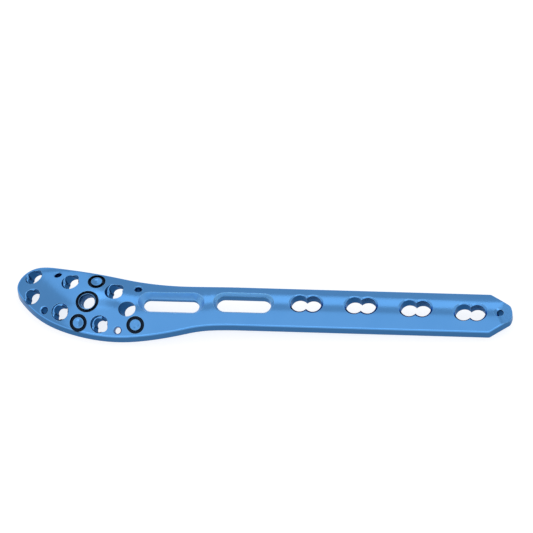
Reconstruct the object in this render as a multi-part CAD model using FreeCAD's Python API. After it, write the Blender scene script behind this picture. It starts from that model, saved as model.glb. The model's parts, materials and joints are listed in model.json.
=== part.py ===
import FreeCAD, Part

import math
import os

# Lateral locking plate for the lower end of a thigh bone, milled from one bar of titanium.
# Plate frame while it is modelled, in millimetres: X runs along the shaft towards the tail,
# Y across it and Z outwards, away from the bone. X = 0 is where the head begins to curve down,
# Y = 0 is the middle of the shaft and Z = 0 is the top of the shaft's crown.
# The finished plate is laid down on the lowest points of its underside.

vector = FreeCAD.Vector

# Section of the plate, square to the line that the top of its crown follows
shaft_width = 15.4
plate_thickness = 5.1
crown_radius = 25.0
hollow_radius = 28.0
section_reach = 17.0
upper_edge_radius = 1.0
lower_edge_break = 0.5

# Line of the crown, from the shaft to the nose: where it starts to bend, then the radius and angle
# of its bends, to the near side and to the far side in the plan, and down over the condyle
bend_start = 33.0
near_bend = (84.0, 9.8)
far_bend = (85.0, 20.8)
drop_bend = (75.0, 40.0)

# Outline of the head seen from above, between the two straight edges of the shaft
flare_start = 34.0
head_outline_points = [
    (10.0, 7.9), (-5.0, 9.5), (-20.0, 12.6), (-34.0, 16.2),
    (-42.8, 17.4), (-47.4, 14.0), (-48.9, 9.2), (-46.6, 4.0),
    (-38.2, -4.7), (-26.7, -10.3), (-7.0, -13.1), (11.4, -10.4),
]

# Row of holes along the shaft: it follows the forward bow of the thigh bone
bow_radius = 850.0
bow_peak_x = 64.0
row_offset = 1.6

# Combination holes: a threaded end towards the tail and a compression end towards the head
shaft_hole_count = 4
first_hole_x = 57.6
hole_pitch = 20.0
lobe_spacing = 4.8
lobe_mouth_radius = 3.95
compression_bore_radius = 3.2
threaded_bore_radius = 3.1

# Long slots: middle, length and width at the mouth, width and depth of the bevel
slot_places = [
    (8.4, 0.5, 24.2, 9.0, 2.0, 3.6),
    (34.8, 1.0, 22.3, 8.6, 1.2, 1.9),
]

# Tail: tapered shoulders, a round nose and a shallow ramp with a wire hole
tail_reach = 15.3
shoulder_length = 8.2
tail_nose_length = 0.9
tail_nose_width = 6.2
tail_corner_radius = 1.5
ramp_length = 5.6
ramp_angle = 14.4
tail_wire_inset = 4.5
tail_wire_lean = 14.0

# Directions of the head's screws and of the guide bore: degrees that an axis leans towards the
# nose and towards the near edge, -Y
screw_lean = (23.5, 8.0)
guide_lean = (11.0, 13.0)

# Lobed locking holes of the head
locking_places = [
    (-43.0, 13.1), (-43.1, 4.2), (-29.0, 8.9),
    (-32.2, -3.3), (-12.5, 4.4), (-17.3, -8.7),
]
locking_mouth_radius = 3.3
locking_mouth_depth = 0.5
lobe_count = 4
lobe_radius = 1.75
lobe_throw = 1.35

# Round screw hole beside the first slot
round_hole_place = (-7.6, -2.9)
round_hole_radius = 2.9

# Threaded guide bore with its ring groove, and the three blind locators around it
guide_place = (-22.3, 0.0)
guide_bore_radius = 2.55
guide_lead_in = 0.5
guide_lead_in_depth = 1.3
guide_groove_inner = 3.15
guide_groove_outer = 4.27
locator_places = [(-19.35, 8.6), (-25.2, -7.8), (-4.2, -8.8)]
locator_groove_inner = 2.0
locator_groove_outer = 3.27
groove_depth = 1.1
locator_dish_radius = 1.6
locator_dish_depth = 0.35

# Wire holes
wire_places = [(-34.0, 12.6), (-38.2, -2.0), (-10.7, -10.8), (-3.9, 5.7)]
wire_radius = 1.25
wire_mouth_radius = 1.65

# Working values: how far tools run past the plate, what counts as an upright face, the step of a
# slope, the rounds of a search and the tolerance of the points that the plate is laid down by
overshoot = 4.0
upright_limit = 0.5
slope_step = 0.05
search_rounds = 30
lay_down_tolerance = 0.1

# Values that follow from the sizes above
half_width = shaft_width / 2
last_hole_x = first_hole_x + (shaft_hole_count - 1) * hole_pitch
tail_x = last_hole_x + tail_reach
tool_depth = 3 * plate_thickness


def spline(points, first_direction, last_direction):
    """Smooth curve through points in the XY plane, leaving and arriving along two directions."""
    curve = Part.BSplineCurve()
    curve.interpolate(
        Points=[vector(x, y, 0) for x, y in points],
        InitialTangent=vector(*first_direction, 0),
        FinalTangent=vector(*last_direction, 0),
    )
    return curve


def section():
    """Wide section of the plate across X, with the top of its crown at the origin."""
    def arc(radius, top):
        rise = math.sqrt(radius ** 2 - section_reach ** 2) - radius
        ends = [vector(0, side * section_reach, top + rise) for side in (-1, 1)]
        return ends[0], ends[1], Part.Arc(ends[0], vector(0, 0, top), ends[1]).toShape()

    near_top, far_top, crown = arc(crown_radius, 0.0)
    near_foot, far_foot, hollow = arc(hollow_radius, -plate_thickness)
    sides = [Part.makeLine(far_top, far_foot), Part.makeLine(near_foot, near_top)]
    return Part.Face(Part.Wire([crown, sides[0], hollow, sides[1]]))


def crowned_slab():
    """Slab with the plate's section all along: straight in the shaft, then bent leg by leg."""
    tail_end = section()
    tail_end.translate(vector(tail_x + overshoot, 0, 0))
    legs = [tail_end.extrude(vector(bend_start - tail_x - overshoot, 0, 0))]
    place = FreeCAD.Placement(vector(bend_start, 0, 0), FreeCAD.Rotation())
    bends = [
        (vector(0, -near_bend[0], 0), vector(0, 0, 1), near_bend[1]),
        (vector(0, far_bend[0], 0), vector(0, 0, -1), far_bend[1]),
        (vector(0, 0, -drop_bend[0]), vector(0, -1, 0), drop_bend[1]),
    ]
    for centre, axis, angle in bends:
        start = section()
        start.Placement = place
        centre = place.multVec(centre)
        axis = place.Rotation.multVec(axis)
        legs.append(start.revolve(centre, axis, angle))
        turn = FreeCAD.Placement(vector(0, 0, 0), FreeCAD.Rotation(axis, angle), centre)
        place = turn.multiply(place)
    return legs[0].fuse(legs[1:])


def outline_wire():
    """Outline of the plate seen from above."""
    head = spline(
        [(flare_start, half_width)] + head_outline_points + [(flare_start, -half_width)],
        (-1, 0),
        (1, 0),
    )
    shoulder_x = tail_x - shoulder_length
    nose_x = tail_x - tail_nose_length
    nose_y = tail_nose_width / 2
    edges = [head.toShape()]
    edges.append(Part.makeLine(vector(flare_start, -half_width, 0), vector(shoulder_x, -half_width, 0)))
    edges.append(Part.makeLine(vector(shoulder_x, -half_width, 0), vector(nose_x, -nose_y, 0)))
    nose = Part.Arc(vector(nose_x, -nose_y, 0), vector(tail_x, 0, 0), vector(nose_x, nose_y, 0))
    edges.append(nose.toShape())
    edges.append(Part.makeLine(vector(nose_x, nose_y, 0), vector(shoulder_x, half_width, 0)))
    edges.append(Part.makeLine(vector(shoulder_x, half_width, 0), vector(flare_start, half_width, 0)))
    return Part.Wire(edges)


def rim_edges(solid, upper):
    """Edges where the side wall meets the outer face (upper) or the underside."""
    chosen = []
    for edge in solid.Edges:
        faces = solid.ancestorsOfType(edge, Part.Face)
        tilts = [abs(face.normalAt(*face.Surface.parameter(face.CenterOfMass)).z) for face in faces]
        if len(faces) != 2 or max(tilts) < upright_limit or min(tilts) > upright_limit:
            continue
        broad = faces[tilts.index(max(tilts))]
        faces_up = broad.normalAt(*broad.Surface.parameter(broad.CenterOfMass)).z > 0
        if faces_up == upper:
            chosen.append(edge)
    return chosen


def blank():
    """The plate before its holes: crowned outside with a rounded rim, hollow underneath."""
    height = crown_radius + hollow_radius + plate_thickness
    prism = Part.Face(outline_wire()).extrude(vector(0, 0, 2 * height))
    prism.translate(vector(0, 0, -height))
    upright = []
    for edge in prism.Edges:
        start, end = edge.Vertexes[0].Point, edge.Vertexes[-1].Point
        if abs(start.z - end.z) > height and start.x > flare_start + overshoot:
            upright.append(edge)
    prism = prism.makeFillet(tail_corner_radius, upright)
    plate = crowned_slab().common(prism).Solids[0]
    plate = plate.makeFillet(upper_edge_radius, rim_edges(plate, True))
    return plate.makeChamfer(lower_edge_break, rim_edges(plate, False)).Solids[0]


def face_height(plate, x, y):
    """Height of the plate's outer face above a point of the plan."""
    reach = crown_radius + plate_thickness
    upright = Part.makeLine(vector(x, y, -reach), vector(x, y, reach))
    return max(vertex.Point.z for vertex in plate.common(upright).Vertexes)


def tail_ramp():
    """Block above the shallow ramp at the tail."""
    block = Part.makeBox(4 * ramp_length, 4 * shaft_width, 2 * plate_thickness)
    block.translate(vector(0, -2 * shaft_width, 0))
    block.rotate(vector(0, 0, 0), vector(0, 1, 0), ramp_angle)
    block.translate(vector(tail_x - ramp_length, 0, 0))
    return block


def seated(plate, tool, place, axis):
    """Tool made along +Z from the surface, turned to its axis and set on the outer face."""
    x, y = place
    turn = FreeCAD.Rotation(vector(0, 0, 1), axis)
    seat = FreeCAD.Placement(vector(x, y, face_height(plate, x, y)), turn)
    tool.Placement = seat.multiply(tool.Placement)
    return tool


def lean_axis(toward_nose, toward_edge):
    """Unit direction that leans from +Z by two angles in degrees."""
    lean = vector(-math.tan(math.radians(toward_nose)), -math.tan(math.radians(toward_edge)), 1)
    return lean.normalize()


def face_normal(plate, place):
    """Direction square to the outer face at a point of the plan."""
    x, y = place
    rise_x = face_height(plate, x + slope_step, y) - face_height(plate, x - slope_step, y)
    rise_y = face_height(plate, x, y + slope_step) - face_height(plate, x, y - slope_step)
    return vector(-rise_x / (2 * slope_step), -rise_y / (2 * slope_step), 1).normalize()


def bore(radius):
    """Straight bore right through the plate."""
    return Part.makeCylinder(radius, tool_depth + overshoot, vector(0, 0, -tool_depth))


def mouth(wide, narrow, depth):
    """Funnel from a wide rim on the surface down to a narrow one, open above the surface."""
    slope = (wide - narrow) / depth
    over = plate_thickness / 2
    return Part.makeCone(narrow, wide + slope * over, depth + over, vector(0, 0, -depth))


def locking_tool():
    """Lobed hole: a round mouth over lobes that leave upright columns between them."""
    column_radius = lobe_throw * math.cos(math.pi / lobe_count)
    column_radius += math.sqrt(lobe_radius ** 2 - (lobe_throw * math.sin(math.pi / lobe_count)) ** 2)
    tool = Part.makeCone(column_radius, locking_mouth_radius, locking_mouth_radius - column_radius,
                         vector(0, 0, column_radius - locking_mouth_radius - locking_mouth_depth))
    tool = tool.fuse(Part.makeCylinder(locking_mouth_radius, locking_mouth_depth + plate_thickness,
                                       vector(0, 0, -locking_mouth_depth)))
    for number in range(lobe_count):
        angle = 2 * math.pi * (number + 0.5) / lobe_count
        lobe = bore(lobe_radius)
        lobe.translate(vector(lobe_throw * math.cos(angle), lobe_throw * math.sin(angle), 0))
        tool = tool.fuse(lobe)
    return tool


def ring_groove(inner, outer):
    """Flat-bottomed ring sunk into the surface."""
    over = plate_thickness
    ring = Part.makeCylinder(outer, groove_depth + over, vector(0, 0, -groove_depth))
    return ring.cut(Part.makeCylinder(inner, groove_depth + over, vector(0, 0, -groove_depth)))


def guide_mouth_tool():
    """Lead-in of the guide bore with the ring groove around it, square to the face."""
    lead_in = mouth(guide_bore_radius + guide_lead_in, guide_bore_radius, guide_lead_in_depth)
    return lead_in.fuse(ring_groove(guide_groove_inner, guide_groove_outer))


def locator_tool():
    """Blind locator: a ring groove round an island with a shallow dish."""
    ball_radius = (locator_dish_radius ** 2 + locator_dish_depth ** 2) / (2 * locator_dish_depth)
    dish = Part.makeSphere(ball_radius, vector(0, 0, ball_radius - locator_dish_depth))
    return ring_groove(locator_groove_inner, locator_groove_outer).fuse(dish)


def wire_tool():
    """Wire hole with a small funnel."""
    return bore(wire_radius).fuse(mouth(wire_mouth_radius, wire_radius, wire_mouth_radius - wire_radius))


def combination_tool():
    """Compression end, towards the head, and threaded end, each with its funnel, overlapping."""
    ends = []
    for side, radius in ((-1, compression_bore_radius), (1, threaded_bore_radius)):
        end = bore(radius).fuse(mouth(lobe_mouth_radius, radius, lobe_mouth_radius - radius))
        end.translate(vector(side * lobe_spacing / 2, 0, 0))
        ends.append(end)
    return ends[0].fuse(ends[1])


def stadium(length, width, z):
    """Slot outline with round ends, centred on the origin at height z."""
    straight = (length - width) / 2
    radius = width / 2
    corners = [vector(-straight, -radius, z), vector(straight, -radius, z),
               vector(straight, radius, z), vector(-straight, radius, z)]
    return Part.Wire([
        Part.makeLine(corners[0], corners[1]),
        Part.Arc(corners[1], vector(straight + radius, 0, z), corners[2]).toShape(),
        Part.makeLine(corners[2], corners[3]),
        Part.Arc(corners[3], vector(-straight - radius, 0, z), corners[0]).toShape(),
    ])


def slot_tool(length, width, bevel_width, bevel_depth):
    """Long slot: bevelled walls at the mouth over an upright land."""
    over = plate_thickness / 2
    growth = 2 * bevel_width / bevel_depth * over
    foot_length = length - 2 * bevel_width
    foot_width = width - 2 * bevel_width
    bevel = Part.makeLoft([stadium(length + growth, width + growth, over),
                           stadium(foot_length, foot_width, -bevel_depth)], True, True)
    land = Part.Face(stadium(foot_length, foot_width, -tool_depth)).extrude(vector(0, 0, tool_depth))
    return bevel.fuse(land)


def row_y(x):
    """Y of the row of shaft holes, which bows forward."""
    return row_offset - (x - bow_peak_x) ** 2 / (2 * bow_radius)


def screw_tools(plate):
    """All the holes, each on its own axis from the outer face of the blank."""
    up = vector(0, 0, 1)
    screw_axis = lean_axis(*screw_lean)
    tools = []
    for number in range(shaft_hole_count):
        x = first_hole_x + number * hole_pitch
        tools.append(seated(plate, combination_tool(), (x, row_y(x)), up))
    for x, y, length, width, bevel_width, bevel_depth in slot_places:
        tools.append(seated(plate, slot_tool(length, width, bevel_width, bevel_depth), (x, y), up))
    for place in locking_places:
        tools.append(seated(plate, locking_tool(), place, screw_axis))
    tools.append(seated(plate, bore(round_hole_radius), round_hole_place, screw_axis))
    tools.append(seated(plate, bore(guide_bore_radius), guide_place, lean_axis(*guide_lean)))
    tools.append(seated(plate, guide_mouth_tool(), guide_place, face_normal(plate, guide_place)))
    for place in locator_places:
        tools.append(seated(plate, locator_tool(), place, face_normal(plate, place)))
    for place in wire_places:
        tools.append(seated(plate, wire_tool(), place, face_normal(plate, place)))
    tail_wire = (tail_x - tail_wire_inset, 0.0)
    tools.append(seated(plate, wire_tool(), tail_wire, lean_axis(tail_wire_lean, 0)))
    return tools


def milled_plate():
    """The finished plate in its own frame."""
    plate = blank()
    return plate.cut(tail_ramp()).cut(screw_tools(plate)).Solids[0]


def best_slope(height_at):
    """Slope, up to one in one either way, at which a height with one peak is greatest."""
    low, high = -1.0, 1.0
    for _ in range(search_rounds):
        third = (high - low) / 3
        if height_at(low + third) < height_at(high - third):
            low += third
        else:
            high -= third
    return (low + high) / 2


def resting_slopes(points):
    """Slopes of the highest plane through the origin's column that stays under every point."""
    slopes = (0.0, 0.0)
    touching = []
    while True:
        lowest = min(points, key=lambda point: point.z - slopes[0] * point.x - slopes[1] * point.y)
        if lowest in touching:
            return slopes
        touching.append(lowest)

        def plane_height(slope_x, slope_y):
            return min(point.z - slope_x * point.x - slope_y * point.y for point in touching)

        def slope_across(slope_x):
            return best_slope(lambda slope_y: plane_height(slope_x, slope_y))

        slope_x = best_slope(lambda slope: plane_height(slope, slope_across(slope)))
        slopes = (slope_x, slope_across(slope_x))


def resting_placement(plate):
    """Placement that lays the plate on a table, with the origin under the middle of its box."""
    centre = plate.CenterOfMass
    points = [point - centre for point in plate.tessellate(lay_down_tolerance)[0]]
    slope_x, slope_y = resting_slopes(points)
    turn = FreeCAD.Rotation(vector(-slope_x, -slope_y, 1), vector(0, 0, 1))
    turned = plate.copy()
    turned.Placement = FreeCAD.Placement(vector(0, 0, 0), turn)
    box = turned.optimalBoundingBox(True)
    foot = vector((box.XMin + box.XMax) / 2, (box.YMin + box.YMax) / 2, box.ZMin)
    return FreeCAD.Placement(foot * -1, turn)


if __name__ == "__main__":
    os.makedirs("parts", exist_ok=True)
    bone_plate = milled_plate()
    bone_plate.Placement = resting_placement(bone_plate)
    bone_plate.exportStep("parts/bone_plate.step")
    box = bone_plate.optimalBoundingBox(True)
    print("solids", len(bone_plate.Solids), "valid", bone_plate.isValid(),
          "volume", round(bone_plate.Volume, 1))
    print("size", round(box.XLength, 2), round(box.YLength, 2), round(box.ZLength, 2))
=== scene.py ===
import json
import math

import bmesh
import bpy
from mathutils import Matrix, Vector


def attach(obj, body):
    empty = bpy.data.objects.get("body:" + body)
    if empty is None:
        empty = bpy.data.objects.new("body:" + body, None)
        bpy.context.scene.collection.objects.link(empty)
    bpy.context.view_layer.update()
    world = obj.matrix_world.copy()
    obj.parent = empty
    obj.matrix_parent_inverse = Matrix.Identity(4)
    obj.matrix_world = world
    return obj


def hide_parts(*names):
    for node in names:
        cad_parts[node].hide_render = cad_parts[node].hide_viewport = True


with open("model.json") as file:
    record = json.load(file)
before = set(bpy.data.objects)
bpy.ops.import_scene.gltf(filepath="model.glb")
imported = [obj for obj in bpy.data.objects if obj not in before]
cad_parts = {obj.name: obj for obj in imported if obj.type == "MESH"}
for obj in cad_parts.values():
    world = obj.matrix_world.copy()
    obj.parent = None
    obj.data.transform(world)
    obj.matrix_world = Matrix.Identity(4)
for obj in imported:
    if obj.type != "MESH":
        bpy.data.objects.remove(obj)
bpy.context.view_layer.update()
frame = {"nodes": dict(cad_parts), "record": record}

MM = 0.001

# The plate's own axes, read from the first combination hole: along the shaft, across it and out
mounts = {mount["name"]: mount for mount in frame["record"]["mounts"]}


def place_of(name):
    """Where a mount sits, in metres."""
    return Vector(mounts[name]["pos_m"])


def axis_of(name):
    """Unit direction out of a mount."""
    return Vector(mounts[name]["axis"]).normalized()


plate_out = axis_of("combination_hole_1")
plate_along = (Vector((1, 0, 0)) - plate_out * plate_out.x).normalized()
plate_across = plate_out.cross(plate_along)


# Shape: the milled skin of the plate, sorted into its finishes

BLASTED, TURNED, TAPPED, BEVELLED, DARK_GROOVE = range(5)
merge_distance = 0.002 * MM
crease_angle = math.radians(28)

# A hole's walls reach this far from its mount, and look at its axis at least this squarely
deepest_wall = 9.0 * MM
least_facing = 0.3

# A face whose normal keeps closer to an axis than this is a floor or a top, and no wall
steep = 0.6
floor_penalty = 9

# Slots: faces steeper than the land slope are the land, and those up to the bevel slope the bevel
land_slope = 0.3
bevel_slope = 0.8

# Ring grooves: heights from the face between which they lie, and that below which all is groove
groove_below = -2.0 * MM
groove_above = 0.5 * MM
groove_floor = -0.75 * MM


class Hole:
    """A hole's axis, the reach of its walls and, if it is tapped, of its thread, in millimetres."""

    def __init__(self, name, reach, thread_reach=0.0, shift=0.0):
        self.axis = axis_of(name)
        self.along = (plate_along - self.axis * plate_along.dot(self.axis)).normalized()
        self.across = self.axis.cross(self.along)
        self.place = place_of(name) + self.along * (shift * MM)
        self.reach = reach * MM
        self.thread_reach = thread_reach * MM

    def polar(self, point):
        """Distance from the axis, turn round it and height along it."""
        offset = point - self.place
        x, y = offset.dot(self.along), offset.dot(self.across)
        return math.hypot(x, y), math.atan2(y, x) / math.tau, offset.dot(self.axis)

    def facing(self, point, normal):
        """How squarely a face looks at the axis, or less than nothing out of its reach."""
        offset = point - self.place
        height = offset.dot(self.axis)
        outward = offset - self.axis * height
        if outward.length > self.reach or abs(height) > deepest_wall:
            return -1.0
        flatness = max(0.0, abs(normal.dot(self.axis)) - steep)
        return -normal.dot(outward.normalized()) - flatness * floor_penalty


def row(name, count, **sizes):
    """The numbered holes of one kind."""
    return [Hole("%s_%d" % (name, number), **sizes) for number in range(1, count + 1)]


# Each combination hole is a threaded and a plain bore, this far to either side of its middle
half_spacing = 2.4
holes = [
    Hole("guide_bore", reach=3.1, thread_reach=2.7),
    Hole("round_screw_hole", reach=3.3),
    Hole("tail_wire_hole", reach=1.8),
    *row("locking_hole", 6, reach=3.5, thread_reach=2.65),
    *row("combination_hole", 4, reach=4.1, thread_reach=3.2, shift=half_spacing),
    *row("combination_hole", 4, reach=4.1, shift=-half_spacing),
    *row("wire_hole", 4, reach=1.8),
]

# Ring grooves with the distance of their inner wall from the middle, a little short of it
rings = [(Hole("guide_ring", reach=4.4), 3.1 * MM)]
rings += [(locator, 1.9 * MM) for locator in row("locator", 3, reach=3.4)]

# Slots, with half the length as their reach, and half the width
slots = [(Hole("slot_1", reach=12.6), 5.0 * MM), (Hole("slot_2", reach=11.6), 4.8 * MM)]


def in_ring(centre, normal):
    """Whether a face belongs to one of the ring grooves."""
    for ring, inner in rings:
        distance, turn, height = ring.polar(centre)
        sunk = height < groove_floor or abs(normal.dot(ring.axis)) < steep
        if inner < distance < ring.reach and groove_below < height < groove_above and sunk:
            return True
    return False


def in_bevel(centre, normal):
    """Whether a face belongs to the bevel of a slot."""
    for slot, half_width in slots:
        offset = centre - slot.place
        inside = abs(offset.dot(slot.along)) < slot.reach and abs(offset.dot(slot.across)) < half_width
        slope = abs(normal.dot(slot.axis))
        if inside and slope < bevel_slope and abs(offset.dot(slot.axis)) < deepest_wall:
            return slope > land_slope
    return False


def wrapped(turn, middle):
    """The turn taken round until it is within half a turn of the middle one."""
    return turn - round(turn - middle)


def finish_face(face, bore_map):
    """Give a face its finish and, in a hole, its turn and height for the cutter's lines."""
    centre, normal = face.calc_center_median(), face.normal
    if in_ring(centre, normal):
        face.material_index = DARK_GROOVE
        return
    hole = max(holes, key=lambda one: one.facing(centre, normal))
    if hole.facing(centre, normal) > least_facing:
        distance, middle, height = hole.polar(centre)
        face.material_index = TAPPED if distance < hole.thread_reach else TURNED
        for loop in face.loops:
            distance, turn, height = hole.polar(loop.vert.co)
            loop[bore_map].uv = (wrapped(turn, middle), height / MM)
    elif in_bevel(centre, normal):
        face.material_index = BEVELLED


def milled_skin(node, materials):
    """Copy of the CAD node, merged, smoothed up to its creases and sorted into its finishes."""
    skin = bmesh.new()
    skin.from_mesh(node.data)
    bmesh.ops.remove_doubles(skin, verts=skin.verts, dist=merge_distance)
    bore_map = skin.loops.layers.uv.new("bore")
    for face in skin.faces:
        face.smooth = True
        finish_face(face, bore_map)
    for edge in skin.edges:
        edge.smooth = edge.is_manifold and edge.calc_face_angle(0.0) < crease_angle
    mesh = bpy.data.meshes.new("milled_plate")
    skin.to_mesh(mesh)
    skin.free()
    for material in materials:
        mesh.materials.append(material)
    piece = bpy.data.objects.new("milled_plate", mesh)
    bpy.context.scene.collection.objects.link(piece)
    weighting = piece.modifiers.new("even_shading", "WEIGHTED_NORMAL")
    weighting.mode = "FACE_AREA"
    weighting.keep_sharp = True
    return piece


# Finishes

def linear(hex_colour):
    """sRGB hex colour as linear values with full opacity."""
    parts = [int(hex_colour[start:start + 2], 16) / 255 for start in (0, 2, 4)]
    return [part / 12.92 if part <= 0.04045 else ((part + 0.055) / 1.055) ** 2.4
            for part in parts] + [1.0]


def add_node(tree, kind, settings=None, values=None, links=None):
    """One shader node with its settings, its sockets' values and the outputs that feed it."""
    made = tree.nodes.new(kind)
    for name, value in (settings or {}).items():
        setattr(made, name, value)
    for name, value in (values or {}).items():
        made.inputs[name].default_value = value
    for name, output in (links or {}).items():
        tree.links.new(output, made.inputs[name])
    return made


def empty_material(name):
    """A new material and its tree, with no nodes in it."""
    material = bpy.data.materials.new(name)
    material.use_nodes = True
    material.node_tree.nodes.clear()
    return material, material.node_tree


def finish_with(tree, shader):
    """The shader goes to the surface."""
    add_node(tree, "ShaderNodeOutputMaterial", links={"Surface": shader.outputs[0]})


# The oxide film keeps some blue at a grazing look; the rounded edges are painted a paler blue as a
# highlight
film_tint = "bcd2ee"
edge_highlight_blue = "9cd0fa"
edge_radius = 0.16 * MM
# How closely the rounded normal follows the true one where the painted edge highlight starts and where it
# is full
edge_highlight_from, edge_highlight_full = 0.99, 0.86

# How far a face leans from a flank's upright, from where the painted shade of the flanks starts to where
# it is full
flank_shade_from, flank_shade_full = 0.5, 0.1

# Clouds of the film, 11 mm wide, and uneven tone in the grooves, 1.1 mm wide, as patterns to the metre
cloud_scale = 90.0
groove_tone_scale = 900.0

# The pits of blasting are about 0.1 mm wide and are drawn 0.35 mm wide, so that they show
pit_scale = 2800.0
pit_depth = 0.03 * MM


def anodised_titanium(name, first, second, flank_shade_colour, roughness, pit_strength, metallic=1.0):
    """Titanium alloy under a clear oxide film: a barely uneven blue with the pits of blasting.

    The edges are rounded a little and painted a paler blue as a highlight, and the upright flanks are
    painted a darker blue as shade. Coarse mill marks scatter part of the light, which a metallic value
    under 1 stands for.
    """
    material, tree = empty_material(name)
    place = add_node(tree, "ShaderNodeTexCoord").outputs["Object"]
    tone = add_node(tree, "ShaderNodeTexNoise", values={"Scale": cloud_scale, "Detail": 3.0},
                    links={"Vector": place})
    colour = add_node(tree, "ShaderNodeMix", {"data_type": "RGBA"},
                      {"A": linear(first), "B": linear(second)}, {"Factor": tone.outputs[0]})
    rounded = add_node(tree, "ShaderNodeBevel", {"samples": 6}, {"Radius": edge_radius})
    flat = add_node(tree, "ShaderNodeNewGeometry")
    match = add_node(tree, "ShaderNodeVectorMath", {"operation": "DOT_PRODUCT"},
                     links={0: rounded.outputs[0], 1: flat.outputs["Normal"]})
    # Painted highlight: where the rounded normal parts from the true one, the blue turns paler
    painted_edge_highlight = add_node(tree, "ShaderNodeMapRange", values={"From Min": edge_highlight_from, "From Max": edge_highlight_full},
                    links={"Value": match.outputs["Value"]})
    colour = add_node(tree, "ShaderNodeMix", {"data_type": "RGBA"}, {"B": linear(edge_highlight_blue)},
                      {"A": colour.outputs["Result"], "Factor": painted_edge_highlight.outputs[0]})
    # Painted shade: faces that stand upright, the flanks, are mixed toward a darker blue
    lean = add_node(tree, "ShaderNodeVectorMath", {"operation": "DOT_PRODUCT"}, {1: plate_out},
                    {0: flat.outputs["Normal"]})
    lean = add_node(tree, "ShaderNodeMath", {"operation": "ABSOLUTE"}, links={0: lean.outputs["Value"]})
    side = add_node(tree, "ShaderNodeMapRange", values={"From Min": flank_shade_from, "From Max": flank_shade_full},
                    links={"Value": lean.outputs[0]})
    colour = add_node(tree, "ShaderNodeMix", {"data_type": "RGBA"}, {"B": linear(flank_shade_colour)},
                      {"A": colour.outputs["Result"], "Factor": side.outputs[0]})
    pits = add_node(tree, "ShaderNodeTexNoise", values={"Scale": pit_scale, "Detail": 2.0},
                    links={"Vector": place})
    bump = add_node(tree, "ShaderNodeBump", values={"Strength": pit_strength, "Distance": pit_depth},
                    links={"Height": pits.outputs[0], "Normal": rounded.outputs[0]})
    shader = add_node(tree, "ShaderNodeBsdfPrincipled",
                      values={"Metallic": metallic, "Roughness": roughness,
                              "Specular Tint": linear(film_tint)},
                      links={"Base Color": colour.outputs["Result"], "Normal": bump.outputs[0]})
    finish_with(tree, shader)
    return material


def cut_titanium(name, colour, roughness, pitch, strength):
    """Anodised alloy as a cutter left it, with turned lines or a thread, pitch in mm; its darker blue is
    painted shade.
    """
    material, tree = empty_material(name)
    place = add_node(tree, "ShaderNodeUVMap", {"uv_map": "bore"})
    parts = add_node(tree, "ShaderNodeSeparateXYZ", links={"Vector": place.outputs[0]})
    turns = add_node(tree, "ShaderNodeMath", {"operation": "DIVIDE"}, {1: pitch}, {0: parts.outputs["Y"]})
    phase = add_node(tree, "ShaderNodeMath", {"operation": "ADD"},
                     links={0: turns.outputs[0], 1: parts.outputs["X"]})
    ridge = add_node(tree, "ShaderNodeMath", {"operation": "PINGPONG"}, {1: 0.5}, {0: phase.outputs[0]})
    bump = add_node(tree, "ShaderNodeBump", values={"Strength": strength, "Distance": 0.5 * pitch * MM},
                    links={"Height": ridge.outputs[0]})
    shader = add_node(tree, "ShaderNodeBsdfPrincipled",
                      values={"Base Color": linear(colour), "Metallic": 1.0, "Roughness": roughness,
                              "Specular Tint": linear(film_tint)},
                      links={"Normal": bump.outputs[0]})
    finish_with(tree, shader)
    return material


def dark_groove_finish():
    """Groove floor and walls: nearly black, dull, with a trace of blue and an uneven tone."""
    material, tree = empty_material("dark_groove_titanium")
    place = add_node(tree, "ShaderNodeTexCoord").outputs["Object"]
    tone = add_node(tree, "ShaderNodeTexNoise", values={"Scale": groove_tone_scale, "Detail": 2.0},
                    links={"Vector": place})
    colour = add_node(tree, "ShaderNodeMix", {"data_type": "RGBA"},
                      {"A": linear("0a1626"), "B": linear("142840")}, {"Factor": tone.outputs[0]})
    shader = add_node(tree, "ShaderNodeBsdfPrincipled", values={"Metallic": 0.8, "Roughness": 0.5},
                      links={"Base Color": colour.outputs["Result"]})
    finish_with(tree, shader)
    return material


def white_floor():
    """Matt board: it shows as white in view and in reflections and keeps a soft shadow."""
    board_grey = "a0a0a0"
    board_glow = 0.78
    material, tree = empty_material("white_board")
    path = add_node(tree, "ShaderNodeLightPath")
    seen = add_node(tree, "ShaderNodeMath", {"operation": "MAXIMUM"},
                    links={0: path.outputs["Is Camera Ray"], 1: path.outputs["Is Glossy Ray"]})
    seen = add_node(tree, "ShaderNodeMath", {"operation": "MAXIMUM"},
                    links={0: seen.outputs[0], 1: path.outputs["Is Transmission Ray"]})
    glow = add_node(tree, "ShaderNodeMath", {"operation": "MULTIPLY"}, {1: board_glow},
                    {0: seen.outputs[0]})
    board = add_node(tree, "ShaderNodeBsdfPrincipled",
                     values={"Base Color": linear(board_grey), "Roughness": 0.9,
                             "Specular IOR Level": 0.0, "Emission Color": (1.0, 1.0, 1.0, 1.0)},
                     links={"Emission Strength": glow.outputs[0]})
    finish_with(tree, board)
    return material


def studio_floor():
    """Round floor with a low upturned rim, for views near the horizon."""
    floor_radius = 2.6
    rim_height = 0.6
    sweep = bmesh.new()
    bmesh.ops.create_circle(sweep, cap_ends=True, radius=floor_radius, segments=96)
    edge = [one for one in sweep.edges if one.is_boundary]
    raised = bmesh.ops.extrude_edge_only(sweep, edges=edge)
    rim = [item for item in raised["geom"] if isinstance(item, bmesh.types.BMVert)]
    bmesh.ops.translate(sweep, verts=rim, vec=(0, 0, rim_height))
    mesh = bpy.data.meshes.new("studio_floor")
    sweep.to_mesh(mesh)
    sweep.free()
    mesh.materials.append(white_floor())
    floor = bpy.data.objects.new("studio_floor", mesh)
    bpy.context.scene.collection.objects.link(floor)


# Light: soft panels, each placed where the crown or the edge of the plate mirrors it to the camera

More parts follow.
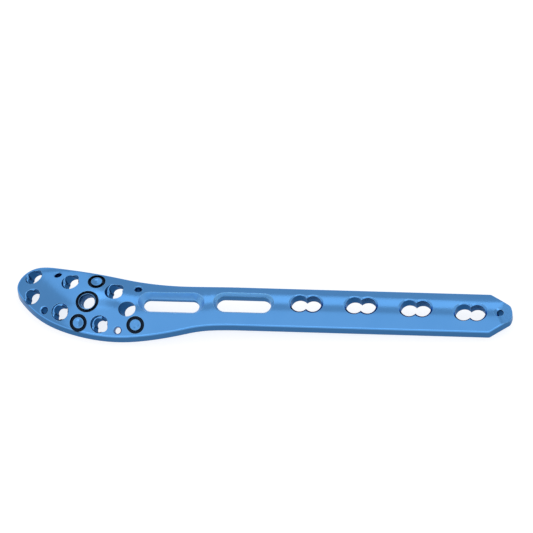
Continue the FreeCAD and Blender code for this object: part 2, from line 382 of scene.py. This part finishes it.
def soft_panel(name, lean, swing, distance, length, width, power):
    """Area lamp leant across the plate and swung along it, by degrees from straight out of its face."""
    lamp = bpy.data.lights.new(name, "AREA")
    lamp.shape = "RECTANGLE"
    lamp.size = length
    lamp.size_y = width
    lamp.energy = power
    lean, swing = math.radians(lean), math.radians(swing)
    direction = plate_out * math.cos(lean) + plate_across * math.sin(lean)
    direction = direction * math.cos(swing) + plate_along * math.sin(swing)
    side = (plate_along - direction * plate_along.dot(direction)).normalized()
    target = (place_of("guide_ring") + place_of("tail_wire_hole")) / 2
    turn = Matrix((side, direction.cross(side), direction)).transposed()
    panel = bpy.data.objects.new(name, lamp)
    panel.matrix_world = Matrix.Translation(target + direction * distance) @ turn.to_4x4()
    panel.visible_camera = False
    bpy.context.scene.collection.objects.link(panel)


def room_light(strength):
    """Even grey light from the rest of the room."""
    world = bpy.data.worlds.new("room")
    world.use_nodes = True
    world.node_tree.nodes.clear()
    room = add_node(world.node_tree, "ShaderNodeBackground",
                    values={"Color": (1.0, 1.0, 1.0, 1.0), "Strength": strength})
    add_node(world.node_tree, "ShaderNodeOutputWorld", links={"Surface": room.outputs[0]})
    bpy.context.scene.world = world


# Camera: the photograph's view, held to the first combination hole

def photo_camera():
    """Camera without perspective that puts the first combination hole on its pixel of the photograph."""
    image_size = 533
    pixels_per_mm = 2.75
    hole_pixel = (306.1, 302.8)
    height_angle, side_angle, roll = math.radians(65), math.radians(10.5), math.radians(8.1)
    stand_off = 1.5
    level = plate_along * math.cos(side_angle) + plate_across * math.sin(side_angle)
    back = plate_along * math.sin(side_angle) - plate_across * math.cos(side_angle)
    toward = back * math.cos(height_angle) + plate_out * math.sin(height_angle)
    above = toward.cross(level)
    right = level * math.cos(roll) - above * math.sin(roll)
    up = level * math.sin(roll) + above * math.cos(roll)
    middle = image_size / 2
    aim = place_of("combination_hole_1")
    aim += right * ((middle - hole_pixel[0]) / pixels_per_mm * MM)
    aim += up * ((hole_pixel[1] - middle) / pixels_per_mm * MM)
    data = bpy.data.cameras.new("photo_camera")
    data.type = "ORTHO"
    data.ortho_scale = image_size / pixels_per_mm * MM
    camera = bpy.data.objects.new("photo_camera", data)
    turn = Matrix((right, up, toward)).transposed()
    camera.matrix_world = Matrix.Translation(aim + toward * stand_off) @ turn.to_4x4()
    bpy.context.scene.collection.objects.link(camera)
    bpy.context.scene.camera = camera


finishes = {
    # Each finish's flank colour is the painted shade of its upright flanks
    BLASTED: anodised_titanium("blasted_anodised_titanium", first="5695d6", second="609edd",
                               flank_shade_colour="416b96", roughness=0.16, pit_strength=0.25),
    # Painted shade: the bore walls get a darker blue than the top for the shade inside the holes
    TURNED: cut_titanium("turned_anodised_titanium_painted_shade", "264f7c", roughness=0.3, pitch=0.3, strength=0.1),
    TAPPED: cut_titanium("tapped_anodised_titanium_painted_shade", "264f7c", roughness=0.3, pitch=0.8, strength=0.8),
    # Painted highlight: the slot bevels get a paler blue than the top; their rougher, less metallic
    # finish stands for the mill marks
    BEVELLED: anodised_titanium("milled_bevel_titanium_painted_highlight", first="7abbf1", second="84c5f5",
                                flank_shade_colour="76b7ef", roughness=0.42, pit_strength=0.1, metallic=0.75),
    DARK_GROOVE: dark_groove_finish(),
}
plate = milled_skin(frame["nodes"]["bone_plate"], [finishes[finish] for finish in sorted(finishes)])
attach(plate, "root")
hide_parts("bone_plate")

# The overhead panel lights the near half, the edge panel its rounded rim, the strip the band beside the
# crown's dark line, and the head panel the far side of the head
studio_floor()
soft_panel("overhead_panel", lean=-24.0, swing=0.0, distance=1.0, length=1.7, width=1.73, power=3.4)
soft_panel("edge_panel", lean=-50.0, swing=0.0, distance=1.2, length=2.0, width=0.5, power=1.7)
soft_panel("strip_panel", lean=37.0, swing=12.0, distance=1.2, length=1.4, width=0.34, power=1.0)
soft_panel("head_panel", lean=50.0, swing=-24.0, distance=1.2, length=0.45, width=1.68, power=0.9)
room_light(0.66)
photo_camera()

bpy.context.scene.view_settings.view_transform = "Standard"
